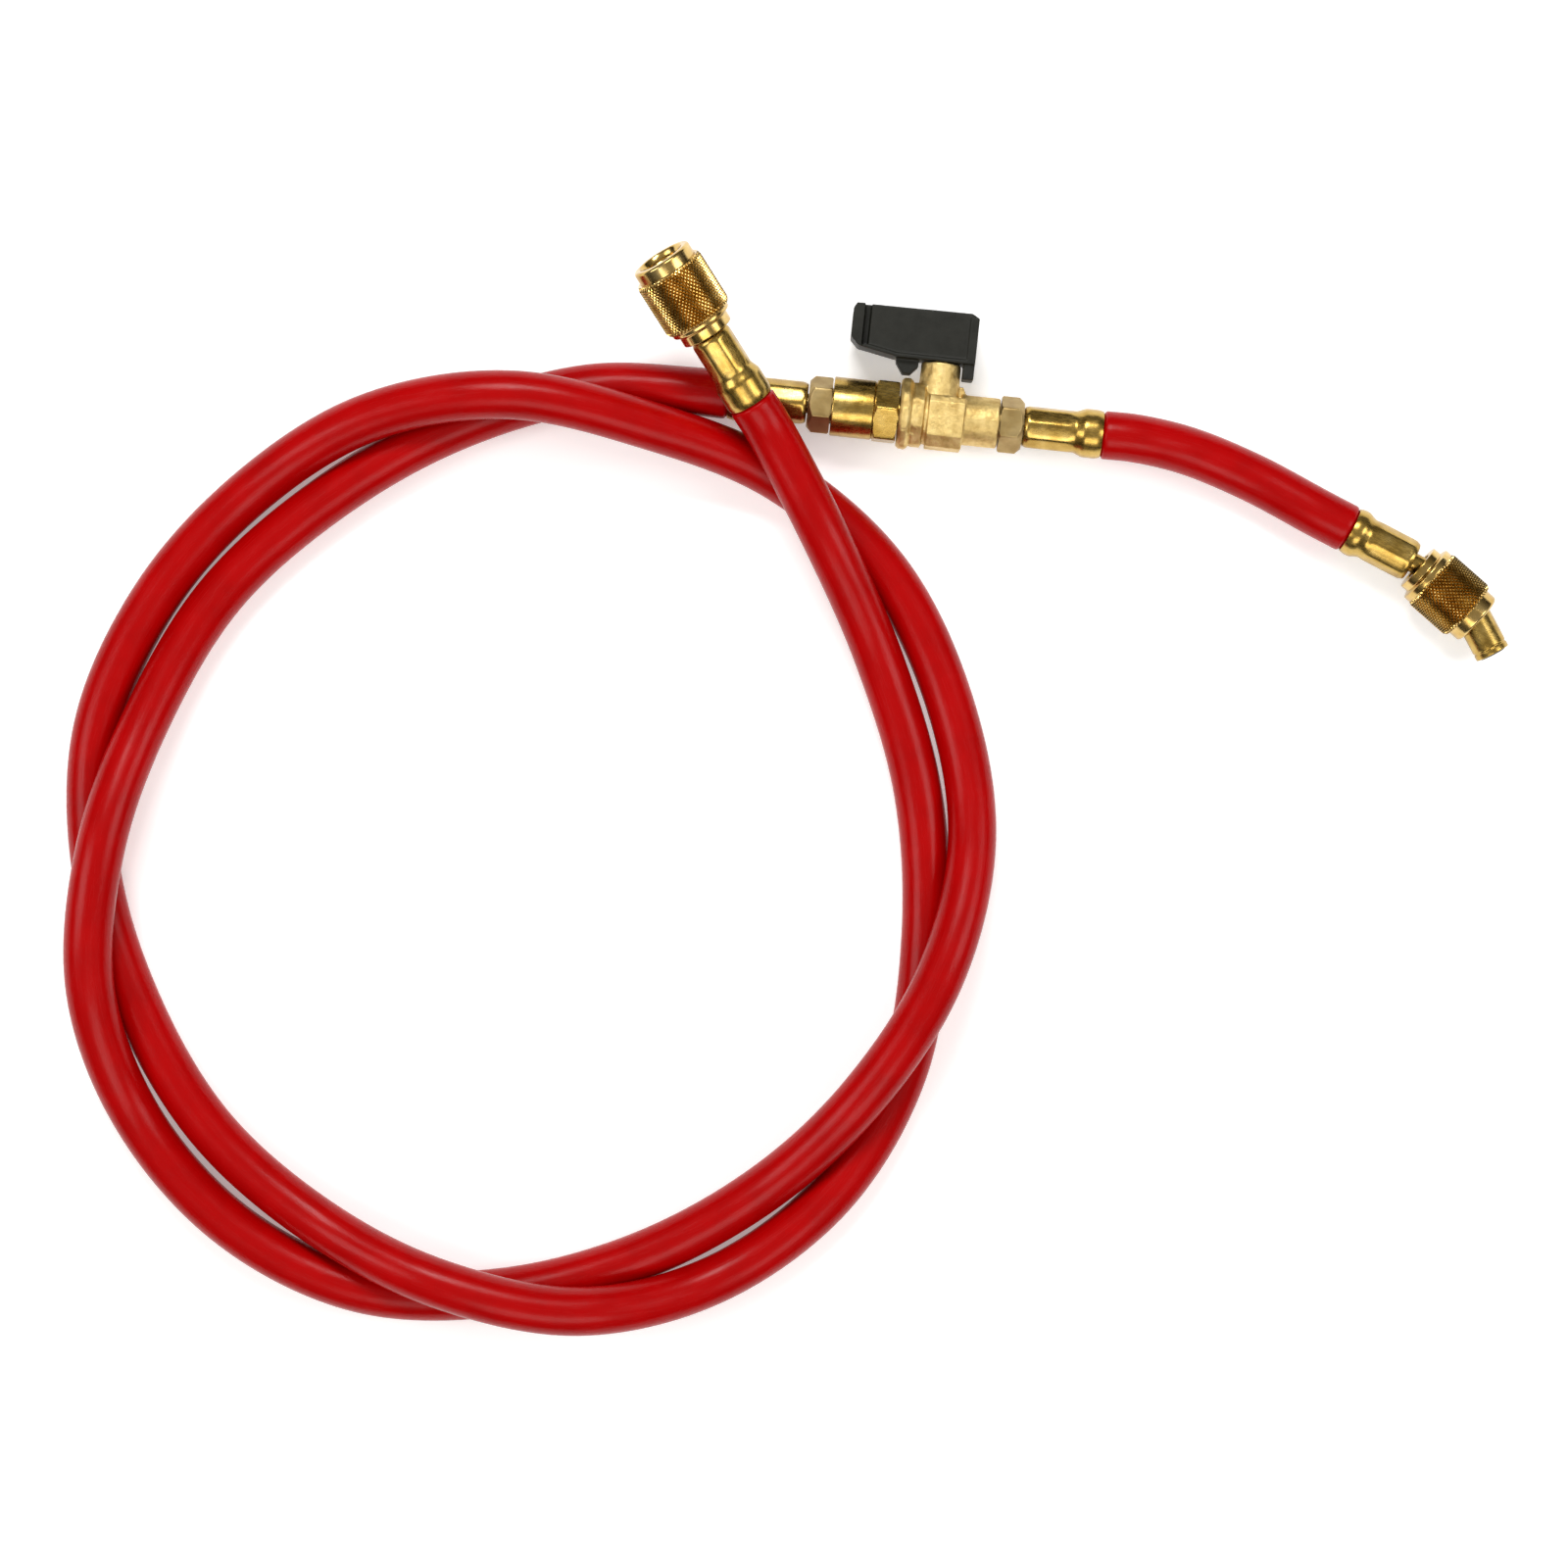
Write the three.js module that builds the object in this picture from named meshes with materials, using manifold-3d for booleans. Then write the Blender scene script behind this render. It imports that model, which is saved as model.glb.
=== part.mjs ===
// A refrigerant charging hose that lies on a level floor: a long hose in two
// loose turns, a small ball valve, a short hose, and a threaded end on each.
// Millimetres, +Z up. The origin is on the floor, below the middle of the
// fittings. +X runs roughly along the valve, from its inlet to its outlet.

import * as THREE from 'three';
import { mergeVertices } from 'three/addons/utils/BufferGeometryUtils.js';
import Module from 'manifold-3d';

const wasm = await Module();
wasm.setup();

// Shared by all pieces. Solids that are joined overlap, and a cutting tool
// runs past what it cuts.
const clearance = 0.3;
const roundSides = 24;
const smallSides = 16;
const hexSides = 6;
const overlapForJoin = 1;
const cutPast = 1;

// The hose and what is crimped on its four ends.
const hoseDiameter = 12.7;
const hoseSides = 12;
const longHoseSteps = 80;
const shortHoseSteps = 5;
const lengthSamplesPerStep = 30;
const hoseNeckDiameter = 10.8;
const hoseCrimpedDiameter = 9.2;
const hoseBore = 5.8;
const ferruleBellDiameter = 12.8;
const ferruleBellEdge = 0.5;
const ferruleBellLength = 6.7;
const ferruleSleeveDiameter = 11.1;
const ferruleLength = 20.6;
const ferruleLengthAtBend = 18.2;
const ferruleShoulder = 0.7;
const tailDiameter = 5.2;
const tailReach = 15;
const passageDiameter = 3;

// Nipples between the hose ends and the valve.
const nippleHexAcrossFlats = 13;
const nippleHexLength = 6;
const nippleThreadDiameter = 9.4;
const nippleThreadLength = 6;
const hexChamfer = 0.6;

// The valve, with its lengths along the flow.
const portDiameter = 5.6;
const capBarrelDiameter = 15.5;
const capBarrelLength = 11.2;
const capHexAcrossFlats = 15.4;
const capHexLength = 6;
const capPlugDiameter = 9;
const collarDiameter = 19;
const collarLength = 3.1;
const collarEdge = 0.8;
const ribDiameter = 16.6;
const ribLength = 3.9;
const blockWidth = 16;
const blockChamfer = 3.1;
const blockLength = 10;
const blockStart = -2.8;
const outletDiameter = 13.7;
const outletLength = 9.3;
const bossDiameter = 10.8;
const bossTop = 13.9;
const lugThickness = 1.6;
const lugHeight = 3.6;
const lugProud = 0.6;
const lugWidth = 2.4;
const ballDiameter = 9;
const ballArcSteps = 12;
const seatPastBall = 1;
const chamberDiameter = 9.6;
const stemDiameter = 5;
const stemTop = 22;
const tangThickness = 1.8;
const tangDepth = 1;

// The lever, measured from the stem's axis and from the flow's axis.
const leverTipReach = 25;
const leverHeelReach = 8.6;
const leverTop = 27.6;
const leverTipBottom = 17.4;
const leverTipSlope = 1.6;
const leverUndercutReach = 12;
const webThickness = 7.2;
const rimThickness = 9.4;
const rimDepth = 1.4;
const tipFlangeThickness = 11;
const tipFlangeLength = 3.6;
const heelFlangeThickness = 7.8;
const heelFlangeLength = 1.6;
const stopTabBottom = 10.2;
const hubDiameter = 11;
const hubTop = 26;
const frontStopLength = 2.6;
const frontStopThickness = 5;
const screwHeadDiameter = 5;
const screwHeadLength = 2;
const screwShankDiameter = 2.4;
const screwShankLength = 6;
const screwSlotWidth = 0.8;
const screwSlotDepth = 0.8;

// The two threaded ends.
const stemTubeDiameter = 5.2;
const sealHeadDiameter = 9.2;
const sealHeadLength = 11.5;
const sealHeadEdge = 0.5;
const sealDiameter = 7;
const sealThickness = 1.8;
const sealProud = 0.3;
const threadDiameter = 11.1;
const nutHole = 8.6;
const nutBackWall = 2.5;
const nutEdge = 0.4;
const nutSides = 30;
const mouthDiameter = 12.6;
const mouthDepth = 1.4;
const straightNut = {
  hubDiameter: 14, hubLength: 3, lipDiameter: 16.6, lipLength: 1.5,
  knurlDiameter: 18.6, knurlLength: 15, frontDiameter: 16.2, frontLength: 3.5,
};
const bentNut = {
  hubDiameter: 13, hubLength: 2.5, lipDiameter: 16.4, lipLength: 2,
  knurlDiameter: 17.2, knurlLength: 13, frontDiameter: 14.6, frontLength: 3.5,
};
const bendRadius = 25;
const bendAngle = 34.5;
const bendStart = 5.6;
const bendTail = 12.5;
const bendSteps = 6;
const bentTubeSteps = 16;
const bentNutTilt = 13.8;
const bentNutBack = 2.05;
const bentNutDrop = 0.52;

// Where the three stiff groups lie. Headings turn from +X towards +Y.
const valvePlace = { x: -35.9, y: 10.7, z: 9.6, heading: -6.1, rise: 0 };
const straightEndPlace = { x: -84.2, y: 13.7, z: 22.6, heading: 123.2, rise: 18 };
const bentEndPlace = { x: 72.7, y: -18.7, z: 8.6, heading: -27.5, rise: 0 };

// The long hose from the valve, round twice, to the straight end. Where it
// passes over itself it rises in a low hump.
const leadOut = 9;
const longHoseRoute = [
  [-127, 18.5, 6.8],
  [-163, 8, 7],
  [-195.5, -10.5, 6.5],
  [-223.5, -35.5, 6.9],
  [-242, -67.5, 11.2],
  [-253, -102, 19.3],
  [-256, -139, 17.2],
  [-245, -173.5, 8],
  [-220.5, -201.5, 6.6],
  [-187, -218, 6.5],
  [-150, -219, 6.4],
  [-113.5, -209.5, 6.8],
  [-81, -191.5, 8.7],
  [-55, -166.5, 17.4],
  [-35, -135, 19.4],
  [-26.5, -99.5, 11.9],
  [-32.5, -63, 7.1],
  [-49, -29.5, 6.6],
  [-77, -5, 7.5],
  [-111, 8, 15.8],
  [-147.5, 15.5, 20.2],
  [-184, 10, 14.8],
  [-215.5, -8.5, 7.2],
  [-240.5, -36, 6.6],
  [-256, -70.5, 6.5],
  [-256.5, -107.5, 6.4],
  [-245.5, -143.5, 6.5],
  [-226.5, -175.5, 6.8],
  [-198.5, -199.5, 9.9],
  [-165.5, -215, 19],
  [-129, -222.5, 17.6],
  [-94, -215.5, 8],
  [-63.5, -193.5, 6.6],
  [-44.5, -161.5, 6.5],
  [-38.5, -125, 6.5],
  [-40.5, -87.5, 6.8],
  [-51, -52, 9.6],
  [-66, -19, 18.5],
];

// The short hose from the valve to the bent end, which sags to the floor.
const shortHoseRoute = [
  [30.5, 2, 7.3],
  [47.5, -5, 6.6],
];

const brass = (name, geometry) => named(name, geometry, 0xc79a3a, 0.28, 1);
const forgedBrass = (name, geometry) => named(name, geometry, 0xcbb06a, 0.55, 1);
const rubber = (name, geometry) => named(name, geometry, 0xb80a0c, 0.42, 0);
const blackRubber = (name, geometry) => named(name, geometry, 0x1a1a1a, 0.7, 0);
const whitePlastic = (name, geometry) => named(name, geometry, 0xe8e4da, 0.5, 0);
const blackPlastic = (name, geometry) => named(name, geometry, 0x2b2c2c, 0.6, 0);
const steel = (name, geometry) => named(name, geometry, 0x9a9a9a, 0.35, 1);

function named(name, geometry, color, roughness, metalness) {
  const material = new THREE.MeshStandardMaterial({ color, roughness, metalness });
  const mesh = new THREE.Mesh(geometry, material);
  mesh.name = name;
  return mesh;
}

// Booleans on closed geometries.
function solid(geometry) {
  const bare = geometry.clone();
  bare.deleteAttribute('normal');
  bare.deleteAttribute('uv');
  const merged = mergeVertices(bare, 1e-4);
  return new wasm.Manifold(new wasm.Mesh({
    numProp: 3,
    vertProperties: new Float32Array(merged.attributes.position.array),
    triVerts: new Uint32Array(merged.index.array),
  }));
}

function geometryOf(manifold) {
  const { vertProperties, triVerts } = manifold.getMesh();
  const geometry = new THREE.BufferGeometry();
  geometry.setAttribute('position', new THREE.BufferAttribute(new Float32Array(vertProperties), 3));
  geometry.setIndex(new THREE.BufferAttribute(new Uint32Array(triVerts), 1));
  geometry.computeVertexNormals();
  return geometry;
}

function join(...geometries) {
  return geometryOf(geometries.map(solid).reduce((sum, next) => sum.add(next)));
}

function cut(geometry, ...tools) {
  return geometryOf(tools.map(solid).reduce((rest, tool) => rest.subtract(tool), solid(geometry)));
}

function common(geometry, other) {
  return geometryOf(solid(geometry).intersect(solid(other)));
}

// Turned shapes lie along X. A profile is a list of [x, radius] that runs
// from low x to high x on its outside, and back along its bore if it has one.
function turned(profile, sides = roundSides) {
  const closed = profile[0][1] > 0 ? [...profile, profile[0]] : profile;
  const points = closed.map(([x, radius]) => new THREE.Vector2(radius, x));
  return new THREE.LatheGeometry(points, sides).rotateZ(-Math.PI / 2);
}

function rod(from, to, diameter, sides = roundSides) {
  const radius = diameter / 2;
  return turned([[from, 0], [from, radius], [to, radius], [to, 0]], sides);
}

// The same, standing along Y.
function post(from, to, diameter, sides = roundSides) {
  return rod(from, to, diameter, sides).rotateZ(Math.PI / 2);
}

function box(x0, x1, y0, y1, z0, z1) {
  return new THREE.BoxGeometry(x1 - x0, y1 - y0, z1 - z0)
    .translate((x0 + x1) / 2, (y0 + y1) / 2, (z0 + z1) / 2);
}

function slab(outline, thickness) {
  const shape = new THREE.Shape(outline.map(([x, y]) => new THREE.Vector2(x, y)));
  return new THREE.ExtrudeGeometry(shape, { depth: thickness, bevelEnabled: false })
    .translate(0, 0, -thickness / 2);
}

// A hexagon bar along X whose corners are turned off at the chamfered ends.
function hexBar(from, to, acrossFlats, chamferLow, chamferHigh, turn = 0) {
  const corner = acrossFlats / Math.sqrt(3);
  const low = corner - chamferLow;
  const high = corner - chamferHigh;
  const bar = rod(from, to, 2 * corner, hexSides).rotateX(turn);
  const turnedOff = turned([
    [from, 0], [from, low], [from + chamferLow, corner + clearance],
    [to - chamferHigh, corner + clearance], [to, high], [to, 0],
  ]);
  return common(bar, turnedOff);
}

// A tube with flat ends along a curve.
function tubeAlong(curve, diameter, sides, steps) {
  const section = new THREE.Shape(Array.from({ length: sides }, (_, i) => {
    const angle = (i / sides) * 2 * Math.PI;
    return new THREE.Vector2(Math.cos(angle), Math.sin(angle)).multiplyScalar(diameter / 2);
  }));
  curve.arcLengthDivisions = steps * lengthSamplesPerStep;
  return new THREE.ExtrudeGeometry(section, { steps, bevelEnabled: false, extrudePath: curve });
}

function placed(place) {
  const group = new THREE.Group();
  group.position.set(place.x, place.y, place.z);
  group.rotation.set(0, -THREE.MathUtils.degToRad(place.rise),
    THREE.MathUtils.degToRad(place.heading), 'ZYX');
  return group;
}

function along(x, turnedRound = false) {
  const group = new THREE.Group();
  group.position.x = x;
  if (turnedRound) {
    group.rotation.z = Math.PI;
  }
  return group;
}

// Each hose end has its own frame: x = 0 at the ferrule's mouth, +X into the
// fitting, so one ferrule and one squeezed hose end serve all four.
function ferrule(length) {
  const bell = ferruleBellDiameter / 2;
  const edge = bell - ferruleBellEdge;
  const sleeve = ferruleSleeveDiameter / 2;
  const mouth = hoseNeckDiameter / 2 + clearance;
  const bore = hoseCrimpedDiameter / 2 + clearance;
  return turned([
    [0, edge], [ferruleBellEdge * 2, bell],
    [ferruleBellLength - ferruleBellEdge * 2, bell],
    [ferruleBellLength, edge], [ferruleBellLength + ferruleShoulder, sleeve],
    [length - ferruleShoulder, sleeve], [length, (sleeve + bore) / 2],
    [length, bore], [ferruleBellLength, bore],
    [ferruleBellLength - (mouth - bore), mouth], [0, mouth],
  ]);
}

function squeezedHoseEnd(length) {
  const neck = hoseNeckDiameter / 2;
  const crimped = hoseCrimpedDiameter / 2;
  const bore = hoseBore / 2;
  const end = length - clearance;
  const neckEnd = ferruleBellLength - (neck - crimped) - clearance;
  return turned([
    [-overlapForJoin, 0], [-overlapForJoin, neck], [neckEnd, neck],
    [neckEnd + neck - crimped, crimped], [end, crimped], [end, bore],
    [length - tailReach - clearance, bore], [length - tailReach - clearance, 0],
  ]);
}

// The barbed tail that every fitting has inside its hose end.
function tail(length) {
  return rod(length - tailReach, length + overlapForJoin, tailDiameter);
}

function passage(from, to) {
  return rod(from - cutPast, to + cutPast, passageDiameter, smallSides);
}

function nipple(length) {
  const hexStart = length + clearance;
  const hexEnd = hexStart + nippleHexLength;
  const threadEnd = hexEnd + nippleThreadLength;
  const whole = join(
    tail(length),
    hexBar(hexStart, hexEnd, nippleHexAcrossFlats, hexChamfer, hexChamfer / 2, Math.PI / 6),
    rod(hexEnd - overlapForJoin, threadEnd, nippleThreadDiameter),
  );
  return cut(whole, passage(length - tailReach, threadEnd));
}

// Positions along the flow, from the stem's axis.
const bodyStart = blockStart - ribLength - collarLength;
const blockEnd = blockStart + blockLength;
const bodyEnd = blockEnd + outletLength;
const capHexStart = bodyStart - clearance - capHexLength;
const capStart = capHexStart - capBarrelLength;
const seatStart = ballDiameter / 2 + seatPastBall;
const socketDiameter = nippleThreadDiameter + 2 * clearance;
const socketDepth = nippleThreadLength + 2 * clearance;

function valveBody() {
  const collar = collarDiameter / 2;
  const collarEnd = bodyStart + collarLength;
  const half = blockWidth / 2;
  const flat = half - blockChamfer;
  const octagon = [
    [half, flat], [flat, half], [-flat, half], [-half, flat],
    [-half, -flat], [-flat, -half], [flat, -half], [half, -flat],
  ];
  const block = slab(octagon, blockLength).rotateY(Math.PI / 2)
    .translate((blockStart + blockEnd) / 2, 0, 0);
  const lug = box(blockEnd - lugThickness, blockEnd, half - lugHeight, half + lugProud,
    flat - lugWidth / 2, flat + lugWidth / 2);
  const outside = join(
    turned([
      [bodyStart, 0], [bodyStart, collar - collarEdge], [bodyStart + collarEdge, collar],
      [collarEnd - collarEdge, collar], [collarEnd, collar - collarEdge], [collarEnd, 0],
    ]),
    rod(collarEnd - overlapForJoin, blockStart + overlapForJoin, ribDiameter),
    block,
    lug,
    rod(blockEnd - overlapForJoin, bodyEnd, outletDiameter),
    post(0, bossTop, bossDiameter),
  );
  return cut(
    outside,
    rod(bodyStart - cutPast, seatStart + clearance, chamberDiameter),
    rod(0, bodyEnd + cutPast, portDiameter),
    rod(bodyEnd - socketDepth, bodyEnd + cutPast, socketDiameter),
    post(0, bossTop + cutPast, stemDiameter + 2 * clearance),
  );
}

function valveCap() {
  const plugEnd = -seatStart - clearance;
  const whole = join(
    rod(capStart, capHexStart + overlapForJoin, capBarrelDiameter),
    hexBar(capHexStart, bodyStart - clearance, capHexAcrossFlats, hexChamfer / 2, hexChamfer / 2),
    rod(bodyStart - overlapForJoin, plugEnd, capPlugDiameter),
  );
  return cut(
    whole,
    rod(capStart - cutPast, capStart + socketDepth, socketDiameter),
    rod(capStart - cutPast, plugEnd + cutPast, portDiameter),
  );
}

// The ball's port lies along X. A slot across its top takes the stem's tang.
function valveBall() {
  const radius = ballDiameter / 2;
  const port = portDiameter / 2;
  const edge = Math.asin(port / radius);
  const profile = Array.from({ length: ballArcSteps + 1 }, (_, i) => {
    const angle = edge + (i / ballArcSteps) * (Math.PI - 2 * edge);
    return [-radius * Math.cos(angle), radius * Math.sin(angle)];
  });
  const slot = tangThickness / 2 + clearance;
  const slotFloor = radius - tangDepth - clearance;
  return cut(turned(profile), box(-radius, radius, slotFloor, radius + cutPast, -slot, slot));
}

// A seat holds the ball with a cone, and ends short of the stem between them.
function ballSeat(side) {
  const outer = capPlugDiameter / 2;
  const inner = portDiameter / 2;
  const coneSum = (ballDiameter / 2 + clearance) * Math.SQRT2;
  const face = stemDiameter / 2 + clearance;
  const profile = [
    [-seatStart, outer], [-face, outer], [-face, coneSum - face],
    [inner - coneSum, inner], [-seatStart, inner],
  ];
  const seat = turned(profile);
  return side < 0 ? seat : seat.rotateZ(Math.PI);
}

function valveStem() {
  const ballTop = ballDiameter / 2;
  const shoulder = ballTop + clearance;
  const tang = common(
    box(-stemDiameter / 2, stemDiameter / 2, ballTop - tangDepth, shoulder + overlapForJoin,
      -tangThickness / 2, tangThickness / 2),
    post(0, stemTop, stemDiameter),
  );
  const whole = join(post(shoulder, stemTop, stemDiameter), tang);
  const screwHole = screwShankDiameter + 2 * clearance;
  return cut(whole, post(stemTop - screwShankLength, stemTop + cutPast, screwHole, smallSides));
}

// The lever is a flanged plate on a round hub. Its stop tab hangs down at the
// heel, and a shorter stop hangs down in front of the boss.
function leverOutline() {
  const bottom = bossTop + clearance;
  return [
    [-leverTipReach, leverTipBottom],
    [-leverTipReach + leverTipSlope, leverTipBottom - leverTipSlope / 2],
    [-leverUndercutReach, bottom], [leverHeelReach, bottom], [leverHeelReach, leverTop],
    [-leverTipReach + leverTipSlope, leverTop], [-leverTipReach, leverTop - leverTipSlope],
  ];
}

function handle() {
  const bottom = bossTop + clearance;
  const outline = leverOutline();
  const rim = slab(outline, rimThickness);
  const pocketStart = -leverTipReach + tipFlangeLength;
  const pocketEnd = leverHeelReach - heelFlangeLength;
  const [tipX, tipY] = outline[1];
  const slope = (tipY - bottom) / (-leverUndercutReach - tipX);
  const rimAt = (x) => bottom + Math.max(0, -leverUndercutReach - x) * slope + rimDepth;
  const pocketOutline = [
    [pocketStart, rimAt(pocketStart)], [-leverUndercutReach, rimAt(-leverUndercutReach)],
    [pocketEnd, rimAt(0)], [pocketEnd, leverTop - rimDepth], [pocketStart, leverTop - rimDepth],
  ];
  const toPocket = (webThickness + rimThickness) / 2;
  const pockets = [-toPocket, toPocket].map((z) => slab(pocketOutline, rimThickness).translate(0, 0, z));
  const tipFlange = common(
    slab(outline, tipFlangeThickness),
    box(-leverTipReach, pocketStart, 0, leverTop, -tipFlangeThickness, tipFlangeThickness),
  );
  const heel = heelFlangeThickness / 2;
  const stopTabStart = bossDiameter / 2 + clearance;
  const heelCuts = [[heel, rimThickness], [-rimThickness, -heel]].map(([low, high]) => (
    box(stopTabStart, leverHeelReach + cutPast, 0, leverTop + cutPast, low, high)
  ));
  const plate = cut(rim, ...pockets, ...heelCuts);
  const whole = join(
    plate,
    tipFlange,
    post(bottom, hubTop, hubDiameter),
    box(stopTabStart, leverHeelReach, stopTabBottom, bottom + overlapForJoin, -heel, heel),
    box(-leverUndercutReach, -leverUndercutReach + frontStopLength, stopTabBottom,
      bottom + overlapForJoin, -frontStopThickness / 2, frontStopThickness / 2),
  );
  const socketTop = stemTop + clearance;
  const headSeat = socketTop + overlapForJoin;
  return cut(
    whole,
    post(bottom - cutPast, socketTop, stemDiameter + 2 * clearance),
    post(bottom, leverTop + cutPast, screwShankDiameter + 2 * clearance, smallSides),
    post(headSeat, leverTop + cutPast, screwHeadDiameter + 2 * clearance),
  );
}

function handleScrew() {
  const headBottom = stemTop + clearance + overlapForJoin + clearance;
  const headTop = headBottom + screwHeadLength;
  const shankTip = stemTop - screwShankLength + 2 * clearance;
  const whole = join(
    post(headBottom, headTop, screwHeadDiameter),
    post(shankTip, headBottom + overlapForJoin, screwShankDiameter, smallSides),
  );
  const half = screwSlotWidth / 2;
  const slotFloor = headTop - screwSlotDepth;
  return cut(whole, box(-screwHeadDiameter, screwHeadDiameter, slotFloor, headTop + cutPast, -half, half));
}

// A threaded end: a tube from the ferrule to the seal head, and a loose nut.
function sealHead(end) {
  const start = end - sealHeadLength;
  const radius = sealHeadDiameter / 2;
  return turned([
    [start, 0], [start, radius], [end - sealHeadEdge, radius], [end, radius - sealHeadEdge], [end, 0],
  ]);
}

function sealRecess(end) {
  return rod(end - sealThickness, end + cutPast, sealDiameter + 2 * clearance);
}

function seal(end) {
  const outer = sealDiameter / 2;
  const inner = passageDiameter / 2;
  const start = end - sealThickness + clearance;
  return turned([[start, outer], [end + sealProud, outer], [end + sealProud, inner], [start, inner]]);
}

function looseNut(nut) {
  const hub = nut.hubDiameter / 2;
  const lip = nut.lipDiameter / 2;
  const knurl = nut.knurlDiameter / 2;
  const front = nut.frontDiameter / 2;
  const lipStart = nut.hubLength;
  const knurlStart = lipStart + nut.lipLength;
  const knurlEnd = knurlStart + nut.knurlLength;
  const end = knurlEnd + nut.frontLength;
  const hole = nutHole / 2;
  const thread = threadDiameter / 2;
  const mouth = mouthDiameter / 2;
  return turned([
    [0, hub - nutEdge], [nutEdge, hub], [lipStart, hub], [lipStart, lip], [knurlStart, lip],
    [knurlStart + nutEdge, knurl], [knurlEnd - nutEdge, knurl], [knurlEnd, front],
    [end - nutEdge, front], [end, front - nutEdge],
    [end, mouth], [end - mouthDepth, thread], [nutBackWall, thread], [nutBackWall, hole], [0, hole],
  ], nutSides);
}

// The straight end, at its hose end's frame.
const straightNutStart = ferruleLength + 2 * clearance;
const straightStemEnd = straightNutStart + nutBackWall + clearance + sealHeadLength;

function straightStem() {
  const whole = join(
    tail(ferruleLength),
    rod(ferruleLength, straightStemEnd - sealHeadLength + overlapForJoin, stemTubeDiameter),
    sealHead(straightStemEnd),
  );
  return cut(whole, passage(ferruleLength - tailReach, straightStemEnd), sealRecess(straightStemEnd));
}

// The bent end curves to its right in the plane of the floor.
function bentPath() {
  const start = new THREE.Vector3(ferruleLengthAtBend + bendStart, 0, 0);
  const points = Array.from({ length: bendSteps + 1 }, (_, i) => {
    const angle = THREE.MathUtils.degToRad((bendAngle * i) / bendSteps);
    return new THREE.Vector3(Math.sin(angle), Math.cos(angle) - 1, 0)
      .multiplyScalar(bendRadius).add(start);
  });
  const turn = THREE.MathUtils.degToRad(bendAngle);
  const heading = new THREE.Vector3(Math.cos(turn), -Math.sin(turn), 0);
  const end = points[bendSteps].clone().addScaledVector(heading, bendTail);
  return { points, heading, turn, end };
}

function bentStem() {
  const { points, heading, turn, end } = bentPath();
  const lead = new THREE.Vector3(ferruleLengthAtBend, 0, 0);
  const insideHead = end.clone().addScaledVector(heading, 2 * overlapForJoin - sealHeadLength);
  const curve = new THREE.CatmullRomCurve3([lead, ...points, insideHead], false, 'centripetal');
  const tube = (diameter) => tubeAlong(curve, diameter, smallSides, bentTubeSteps);
  const headFrame = new THREE.Matrix4().makeRotationZ(-turn).setPosition(end);
  const atHead = (geometry) => geometry.applyMatrix4(headFrame);
  const whole = join(tail(ferruleLengthAtBend), tube(stemTubeDiameter), atHead(sealHead(0)));
  return cut(
    whole,
    passage(ferruleLengthAtBend - tailReach, ferruleLengthAtBend),
    tube(passageDiameter),
    atHead(passage(2 * overlapForJoin - sealHeadLength, 0)),
    atHead(sealRecess(0)),
  );
}

// Assembly.
const valve = placed(valvePlace);
const inletEnd = along(capStart - clearance - nippleHexLength - clearance - ferruleLength);
const outletEnd = along(bodyEnd + clearance + nippleHexLength + clearance + ferruleLength, true);
inletEnd.add(
  brass('ferrule_inlet', ferrule(ferruleLength)),
  brass('inlet_nipple', nipple(ferruleLength)),
);
outletEnd.add(
  brass('ferrule_outlet', ferrule(ferruleLength)),
  brass('outlet_nipple', nipple(ferruleLength)),
);
valve.add(
  inletEnd,
  outletEnd,
  brass('valve_cap', valveCap()),
  forgedBrass('valve_body', valveBody()),
  whitePlastic('seat_inlet', ballSeat(-1)),
  whitePlastic('seat_outlet', ballSeat(1)),
  brass('valve_ball', valveBall()),
  brass('valve_stem', valveStem()),
  blackPlastic('handle', handle()),
  steel('handle_screw', handleScrew()),
);

const straightEnd = placed(straightEndPlace);
const straightNutGroup = along(straightNutStart);
straightNutGroup.add(brass('nut_straight', looseNut(straightNut)));
straightEnd.add(
  brass('ferrule_straight', ferrule(ferruleLength)),
  brass('stem_straight', straightStem()),
  blackRubber('seal_straight', seal(straightStemEnd)),
  straightNutGroup,
);

const bentEnd = placed(bentEndPlace);
const bent = bentPath();
const bentSealGroup = new THREE.Group();
bentSealGroup.position.copy(bent.end);
bentSealGroup.rotation.z = -bent.turn;
bentSealGroup.add(blackRubber('seal_bent', seal(0)));
const bentNutGroup = new THREE.Group();
bentNutGroup.position.set(ferruleLengthAtBend + bentNutBack, -bentNutDrop, 0);
bentNutGroup.rotation.z = -THREE.MathUtils.degToRad(bentNutTilt);
bentNutGroup.add(brass('nut_bent', looseNut(bentNut)));
bentEnd.add(
  brass('ferrule_bent', ferrule(ferruleLengthAtBend)),
  brass('stem_bent', bentStem()),
  bentSealGroup,
  bentNutGroup,
);

const object = new THREE.Group();
object.add(valve, straightEnd, bentEnd);
object.updateMatrixWorld(true);

// A hose runs from one ferrule's mouth to another's, straight out of each for
// a short way, and is squeezed into both.
function hose(route, from, to, steps) {
  const leaving = (end, distance) => new THREE.Vector3(-distance, 0, 0).applyMatrix4(end.group.matrixWorld);
  const points = [
    leaving(from, clearance), leaving(from, leadOut),
    ...route.map((point) => new THREE.Vector3(...point)),
    leaving(to, leadOut), leaving(to, clearance),
  ];
  const curve = new THREE.CatmullRomCurve3(points, false, 'centripetal');
  return join(
    tubeAlong(curve, hoseDiameter, hoseSides, steps),
    ...[from, to].map((end) => squeezedHoseEnd(end.ferrule).applyMatrix4(end.group.matrixWorld)),
  );
}

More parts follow.
